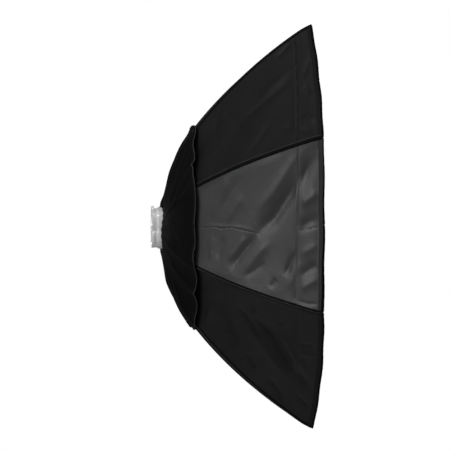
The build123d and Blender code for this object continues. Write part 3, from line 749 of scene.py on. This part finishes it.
# ---------------- rear hood
NECK_R, FLAT_BACK_R, HOOD_X = 47.9, 62.0, 9.0
NECK_PUCKERS = 46
HOOD_MIDDLE, HOOD_HEM = (31.0, 140.0), (75.5, 243.0)
HOOD_LEAN = 3.7                       # the hood is this much flatter at the top and fuller at the bottom
HEM_CLOSE = 10.0                      # how much closer the hem lies to the grey panels than to the black
# waves of the hem: count round the axis, height, phase
HEM_WAVES = ((1, -1.0, 0), (2, 4.2, -pi / 2), (7, 1.6, -0.4), (15, 2.0, 3.1), (19, 0.9, 1.2))
HOOD_FOLDS = (                        # path of (theta, v), height in mm, width in mm
    ([(142, 1.0), (149, 0.65), (151, 0.58), (157, 0.45)], 5.2, 7.0),
    ([(117, 0.9), (126, 0.6), (146, 0.3)], 4.6, 6.5), ([(124, 0.95), (131, 0.75), (141, 0.5)], 3.0, 5.0),
    ([(221, 1.0), (221, 0.6), (219, 0.33)], 3.8, 7.5),
    ([(196, 1.0), (192, 0.7), (187, 0.5)], 1.4, 9.0),
    ([(246, 0.95), (244, 0.7), (238, 0.45)], 2.6, 8.0),
    ([(28, 0.96), (22, 0.6), (12, 0.25)], 3.4, 8.0), ([(338, 0.96), (340, 0.6), (352, 0.25)], 3.2, 8.0),
    ([(8, 0.96), (2, 0.55), (358, 0.2)], 2.4, 10.0), ([(66, 0.96), (70, 0.6), (62, 0.25)], 3.2, 9.0),
    ([(92, 0.96), (88, 0.6), (96, 0.25)], 3.0, 9.0), ([(48, 0.96), (44, 0.6), (30, 0.2)], 2.6, 8.0),
    ([(268, 0.96), (272, 0.6), (262, 0.25)], 3.0, 9.0), ([(292, 0.96), (288, 0.6), (298, 0.25)], 3.2, 9.0),
    ([(314, 0.96), (318, 0.6), (310, 0.25)], 2.8, 8.0),
)


def circle_through(a, b, c):
    (ax, ay), (bx, by), (cx, cy) = a, b, c
    d = 2 * (ax * (by - cy) + bx * (cy - ay) + cx * (ay - by))
    ux = ((ax**2 + ay**2) * (by - cy) + (bx**2 + by**2) * (cy - ay) + (cx**2 + cy**2) * (ay - by)) / d
    uy = ((ax**2 + ay**2) * (cx - bx) + (bx**2 + by**2) * (ax - cx) + (cx**2 + cy**2) * (bx - ax)) / d
    return ux, uy, np.hypot(ax - ux, ay - uy)


HOOD_CIRCLE = circle_through((HOOD_X, FLAT_BACK_R), HOOD_MIDDLE, HOOD_HEM)
HOOD_LENGTH, HOOD_WEAVE = 225.0, 230.0    # from neck to hem: laid flat, and in the weave's texture
HEM_V, HEM_SEAM_V = 0.997, 0.965      # where the hem's cord and its stitches run


def fold_at(theta, v, path, width):
    """Height share, 0 to 1, of a soft fold of the hood whose ridge follows path."""
    best = np.zeros(np.shape(theta))
    reach = lambda at: NECK_R + (HOOD_HEM[1] - NECK_R) * at
    for (t0, v0), (t1, v1) in zip(path, path[1:]):
        scale = reach((v0 + v1) / 2)
        p = np.array([radians(t0) * scale, reach(v0)])
        step = np.array([radians((t1 - t0 + 180) % 360 - 180) * scale, reach(v1) - reach(v0)])
        dt = np.radians((theta - t0 + 180) % 360 - 180) * scale
        dr = reach(v) - p[1]
        k = np.clip((dt * step[0] + dr * step[1]) / (step @ step), 0, 1)
        gap = np.hypot(dt - k * step[0], dr - k * step[1])
        best = np.maximum(best, np.exp(-(gap / width) ** 2))
    inner_end = min(path[0][1], path[-1][1])
    return best * smooth(inner_end - 0.1, inner_end + 0.2, v)


def neck_wave(t):
    """How far the hood's slack neck stands forward of HOOD_X, at t radians round the axis."""
    return 2.4 * np.sin(3 * t + pi / 4) + 0.8 * np.sin(19 * t)


def hood_point(theta, v):
    """Point of the rear hood: theta round the axis in degrees, v from 0 at the neck to 1 at the hem."""
    theta, v = np.broadcast_arrays(np.asarray(theta, float), np.asarray(v, float))
    r = NECK_R + (HOOD_HEM[1] - NECK_R) * v
    cx, cr, radius = HOOD_CIRCLE
    side = 1.0 if cx > HOOD_X else -1.0
    x = np.where(r < FLAT_BACK_R, HOOD_X, cx - side * np.sqrt(np.maximum(radius**2 - (r - cr) ** 2, 0)))
    off = off_middle(theta)
    eight = FLAT / np.cos(np.radians(off))
    corner = np.abs(off) / HALF
    eight = eight - 0.012 * smooth(0.86, 1.0, corner)
    square = smooth(0.05, 0.6, v)
    q = r * ((1 - square) * 0.985 + square * eight)
    t = np.radians(theta)
    lift = sum(height * fold_at(theta, v, path, width) for path, height, width in HOOD_FOLDS)
    lift = lift + 0.5 * np.sin(13 * t + 0.3 + 3 * v) * smooth(0.05, 0.5, v)
    lift = lift + 2.2 * smooth(0.8, 1.0, corner) * smooth(0.1, 0.4, v) * (1 - smooth(0.75, 1.0, v))
    slack = 2.0 * (1 - corner ** 2) * np.sin(pi * v)
    q = q + 0.55 * (lift - slack)
    x = x - 0.85 * (lift - slack) + HOOD_LEAN * np.sin(t) * np.sin(pi * v)
    hem = smooth(0.6, 1.0, v)
    wave = sum(height * np.sin(n * t + phase) for n, height, phase in HEM_WAVES)
    x = x + wave * hem
    q = q + (0.3 * wave - HEM_CLOSE * np.cos(t) ** 2) * hem + 1.5 * smooth(0.95, 1.0, v)
    q = q + (1 - smooth(0.0, 0.06, v)) * 0.5 * np.sin(NECK_PUCKERS * t)
    x = x + (1 - smooth(0.0, 0.2, v)) * neck_wave(t)
    return about_axis(x, q, t)


def hood_frame(theta, v):
    points = hood_point(theta, v)
    dv = hood_point(theta, v + 0.004) - hood_point(theta, v - 0.004)
    dt = hood_point(theta + 0.25, v) - hood_point(theta - 0.25, v)
    n = unit(np.cross(dv, dt))
    return points, n * np.sign(n @ -AHEAD + 1e-9)[..., None]


def follow_fold(piece):
    """Bakes piece's placement into its own mesh."""
    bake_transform(piece)


def narrow_with_fold(piece, rib):
    """piece turns with its rib, riding on the rib's body, with a mesh of its own."""
    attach(piece, f"rib_{rib + 1}")
    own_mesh(piece)


def hood_half(k, half, rib):
    middle, far = PITCH * k, PITCH * k + (-HALF if half == "a" else HALF)
    theta = np.linspace(far, middle, 30)[None, :]
    v = np.linspace(0, 1, 64)[:, None]
    points, normals = hood_frame(theta, v)
    arc = np.radians(theta) * np.linalg.norm(points[..., 1:], axis=-1)
    uv = np.stack([arc * MM, np.broadcast_to(v * HOOD_WEAVE * MM, arc.shape)], -1)
    piece = sheet_object(f"rear_hood_{NAMES[k]}_{half}", points, normals, 0.8, HOOD, uv)
    follow_fold(piece)
    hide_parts("rear_hood")

    hem_path, hem_normals = hood_frame(theta[0], HEM_V)
    hem = tube_object(f"hood_hem_{NAMES[k]}_{half}", hem_path + hem_normals * 0.3, 1.25, HEM_THREAD)
    narrow_with_fold(hem, rib)
    row, row_normals = hood_frame(np.linspace(far, middle, 40), HEM_SEAM_V)
    seam = stitches_object(f"hood_seam_{NAMES[k]}_{half}", [(row + row_normals * 0.5, row_normals)], THREAD)
    narrow_with_fold(seam, rib)


def neck_elastic():
    turn = np.linspace(0, 2 * pi, 97)
    r = NECK_R + 1.6 + 0.35 * np.sin(NECK_PUCKERS * turn)
    path = about_axis(HOOD_X + 0.6 + neck_wave(turn), r, turn)
    piece = tube_object("hood_neck_elastic", path, 1.7, HOOD, sides=10)
    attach(piece, "hub")


# ---------------- diffusers
DIFFUSER_X, DIFFUSER_GAP, DIFFUSER_CORNER = 281.0, 9.5, 420.0
INNER_X, INNER_CORNER = 215.0, 290.0
STRAP_END, STRAP_WIDE, STRAP_LENGTH, STRAP_KEEP = 372.5, 12.0, 93.0, 0.28      # STRAP_END is at the rib


def front_rim(angle):
    """Edge of the front diffuser, inside its hook tape: an octagon whose sides sag with the side panels."""
    off = off_middle(angle)
    flat = np.interp(DIFFUSER_X, *corner_profile(np.linspace(0, LENGTH, 400))) * FLAT
    sag = SAG * (1 - (np.tan(np.radians(off)) / np.tan(radians(HALF))) ** 2) * 0.8
    return np.minimum((flat - DIFFUSER_GAP - sag) / np.cos(np.radians(off)), DIFFUSER_CORNER)


def inner_rim(angle):
    """Edge of the inner diffuser: a free octagon."""
    off = off_middle(angle)
    return INNER_CORNER * FLAT / np.cos(np.radians(off)) - 5.0 * (1 - (np.abs(off) / HALF) ** 2)


# waves of the stretched cloth: count round the axis, phase, height, and how far they lean towards the rim
DIFFUSER_WAVES = ((8, 0.4, 1.0, 1.5), (19, 2.0, 0.5, -2.0), (31, 1.1, 0.35, 3.0), (53, 0.6, 0.2, 0))


def crumple(piece, body):
    """piece rides on body, with a mesh of its own."""
    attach(piece, body)
    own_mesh(piece)


def wedge(index, count, body, x0, rim, drape, lip):
    """One sector of a flat diffuser, with a lip that turns forward at its rim."""
    step = 360 / count
    angle = HALF + index * step + np.linspace(0, step, 13)[None, :]
    edge = rim(angle)
    r = np.linspace(0.0, 1.0, 44)[:, None] ** 0.9 * edge + 0.4
    t = np.radians(angle)
    share = r / edge
    waves = sum(height * np.sin(n * t + phase + share * lean) for n, phase, height, lean in DIFFUSER_WAVES)
    x = x0 + drape * (1 - share ** 2 + 0.16 * waves * share ** 3) - 1.2 * smooth(0.955, 0.985, share)
    points = about_axis(x, r, t)
    if lip > 0:
        ring = points[-1]
        out = unit(np.stack([np.zeros_like(ring[:, 0]), ring[:, 1], ring[:, 2]], -1))
        rows = [ring + AHEAD * lip * c * 0.8 + out * lip * c * 0.62 for c in (0.35, 0.7, 1.0)]
        points = np.concatenate([points, np.array(rows)])
    normals = grid_normals(points, AHEAD)
    normals[:1] = AHEAD
    piece = sheet_object(f"{body}_{index + 1}", points, normals, 0.6, DIFFUSER, points[..., 1:] * MM)
    reach = edge.mean() + lip
    chord = 2 * reach * np.tan(radians(step / 2))
    flat_size(chord, reach)
    crumple(piece, body)
    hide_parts(body)


def hem_strip(index, count, body, x0, rim, wide):
    """White tape sewn on a diffuser's edge."""
    step = 360 / count
    angle = HALF + index * step + np.linspace(0, step, 13)
    edge = rim(angle)
    section = ((wide, 0.9), (wide * 0.6, 1.25), (wide * 0.25, 1.3), (0.6, 1.0))        # from the edge, height
    points = np.array([about_axis(x0 + lift, edge - drop, np.radians(angle)) for drop, lift in section])
    normals = grid_normals(points, AHEAD)
    piece = sheet_object(f"{body}_hem_{index + 1}", points, normals, 0.6, WHITE_TAPE, points[..., 1:] * MM)
    crumple(piece, body)


def diffuser(body, count, x0, rim, drape, lip, hem):
    """A diffuser in count sectors, each with its white hem tape."""
    for index in range(count):
        wedge(index, count, body, x0, rim, drape, lip)
        hem_strip(index, count, body, x0, rim, hem)


def strap(k):
    """Elastic strap from the inner diffuser's corner to a rib."""
    out, way = outward_of(RIB_ANGLES[k]), round_of(RIB_ANGLES[k])
    r = np.linspace(INNER_CORNER - 10, STRAP_END, 24)[:, None]
    w = np.linspace(-STRAP_WIDE / 2, STRAP_WIDE / 2, 5)[None, :]
    sag = -2.2 * np.sin(pi * (r - r[0]) / (r[-1] - r[0]))
    points = (INNER_X + 2.0 + 0.4 * sag)[..., None] * AHEAD + r[..., None] * out + w[..., None] * way
    normals = grid_normals(points, AHEAD)
    uv = np.stack(np.broadcast_arrays(w, r), -1) * MM
    piece = sheet_object(f"diffuser_strap_{k + 1}", points, normals, 0.9, ELASTIC, uv)
    crumple(piece, "inner_diffuser")
    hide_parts("inner_diffuser_straps")


def finish_nodes():
    ribs = range(1, SIDES + 1)
    looks = {RING_METAL: ["speed_ring"], BUTTON: ["latch_button"], RIB_PAINT: [f"rib_{k}" for k in ribs],
             SCREW_METAL: ["hub_screws", "guide_end_screws"],
             PLASTIC: ["hub_ring", "hub_rear_plate", "guide_end_ring", "slider_ring"]
             + [f"rib_fittings_{k}" for k in ribs],
             ROD_METAL: ["rib_hinge_pins", "guide_rods", "latch_spring"] + [f"strut_{k}" for k in ribs]}
    for material, names in looks.items():
        for name in names:
            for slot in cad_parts[name].material_slots:
                slot.material = material
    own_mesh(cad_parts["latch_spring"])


# ---------------- room, lights and camera
FLOOR_Z, FLOOR_RADII, FLOOR_POINTS = -1600.0, (110.0, 1650.0, 3300.0, 5500.0), 96
FLOOR_GLOW = 0.42                     # the floor's own light keeps it pale, and doesn't reach the object


def floor_material():
    m = Nodes("pale_paper", (0.9, 0.9, 0.9), 0.9, specular=0.2)
    m.roughen(m.noise(m.place("Object"), 3.0), 0.86, 0.94)
    m.shader.inputs["Emission Color"].default_value = (1, 1, 1, 1)
    m.shader.inputs["Emission Strength"].default_value = FLOOR_GLOW
    return m.material


def room():
    """Round pale floor under the softbox, which would hang from its flash on a stand."""
    n = FLOOR_POINTS
    turn = np.arange(n) * 2 * pi / n
    rings = [np.stack([r * np.cos(turn), r * np.sin(turn), np.full(n, FLOOR_Z)], 1) for r in FLOOR_RADII]
    faces = [(r * n + i, (r + 1) * n + i, (r + 1) * n + (i + 1) % n, r * n + (i + 1) % n)
             for r in range(len(rings) - 1) for i in range(n)]
    floor = new_object("studio_floor", np.concatenate(rings), faces + [tuple(range(n))], [floor_material()])
    floor.visible_diffuse = floor.visible_glossy = False


def area_light(name, place, toward, size, power, spread=180.0):
    """place, toward and size in metres, power in watts, spread in degrees."""
    data = bpy.data.lights.new(name, "AREA")
    data.shape = "RECTANGLE"
    data.size, data.size_y = size
    data.energy = power
    data.spread = radians(spread)
    light = scene_object(name, data)
    place, toward = Vector(place), Vector(toward)
    light.location = place
    light.rotation_euler = (toward - place).to_track_quat("-Z", "Y").to_euler()
    light.visible_camera = False


ROOM_LIGHT = 0.12                     # what the white room gives the object; the camera sees it as white


def lighting():
    scene = bpy.context.scene
    scene.world = scene.world or bpy.data.worlds.new("studio")
    scene.world.use_nodes = True
    tree = scene.world.node_tree
    back = tree.nodes["Background"]
    back.inputs["Color"].default_value = (1, 1, 1, 1)
    seen = tree.nodes.new("ShaderNodeLightPath")
    level = tree.nodes.new("ShaderNodeMapRange")
    level.inputs["To Min"].default_value = ROOM_LIGHT
    level.inputs["To Max"].default_value = 1.0
    tree.links.new(seen.outputs["Is Camera Ray"], level.inputs["Value"])
    tree.links.new(level.outputs["Result"], back.inputs["Strength"])
    area_light("key", (-2.3, -1.3, 1.0), (0.15, 0, 0), (2.2, 0.8), 30)
    area_light("top", (-1.2, -0.9, 2.8), (0.15, 0, 0), (1.6, 1.0), 21)
    area_light("front", (0.6, -4.0, 1.2), (0.15, 0, 0), (2.0, 1.2), 9)
    area_light("face", (3.4, 0.8, 1.0), (0.3, 0, 0), (1.6, 1.6), 20)
    area_light("bounce", (-0.5, -0.2, -1.58), (-0.5, -0.2, 0), (3.2, 3.2), 8)
    area_light("mount", (-0.9, -2.2, 0.2), (-0.045, 0, 0), (0.08, 0.08), 0.023, spread=4.0)


CAMERA_AZIMUTH, CAMERA_PITCH, CAMERA_ROLL = 3.96, 0.53, -0.36
CAMERA_DISTANCE, PIXELS_PER_MM, FRAME_PIXELS, SENSOR = 5.5, 0.4445, 450, 36.0
LOOK_AT = (155.0, 0.0, 0.0)
RAISE, ASIDE = 5.5, -3.4              # the view's centre, above and beside LOOK_AT


def camera():
    a, e, roll = radians(CAMERA_AZIMUTH), radians(CAMERA_PITCH), radians(CAMERA_ROLL)
    way = Vector((sin(a) * cos(e), cos(a) * cos(e), sin(e)))
    right = way.cross(Vector((0, 0, 1))).normalized()
    up = right.cross(way)
    right, up = right * cos(roll) + up * sin(roll), up * cos(roll) - right * sin(roll)
    target = (Vector(LOOK_AT) + up * RAISE + right * ASIDE) * MM
    data = bpy.data.cameras.new("camera")
    data.sensor_width = SENSOR
    data.lens = PIXELS_PER_MM * CAMERA_DISTANCE / MM * SENSOR / FRAME_PIXELS
    data.clip_end = 50
    obj = scene_object("camera", data)
    place = target - way * CAMERA_DISTANCE
    obj.matrix_world = Matrix.Translation(place) @ Matrix((right, up, -way)).transposed().to_4x4()
    bpy.context.scene.camera = obj


# ---------------- build
camera()
lighting()
room()
bpy.context.scene.view_settings.view_transform = "Standard"
for k in range(SIDES):
    for half, rib, u0 in halves(k):
        side_panel(k, half, u0)
        hook_seam(k, half, u0)
        front_edge(k, half, u0)
        hood_half(k, half, rib)
    seam_band(k)
    corner_pocket(k)
    strap(k)
neck_elastic()
diffuser("front_diffuser", 24, DIFFUSER_X, front_rim, drape=5.0, lip=9.0, hem=24.0)
diffuser("inner_diffuser", 16, INNER_X, inner_rim, drape=4.0, lip=0.0, hem=16.0)
finish_nodes()
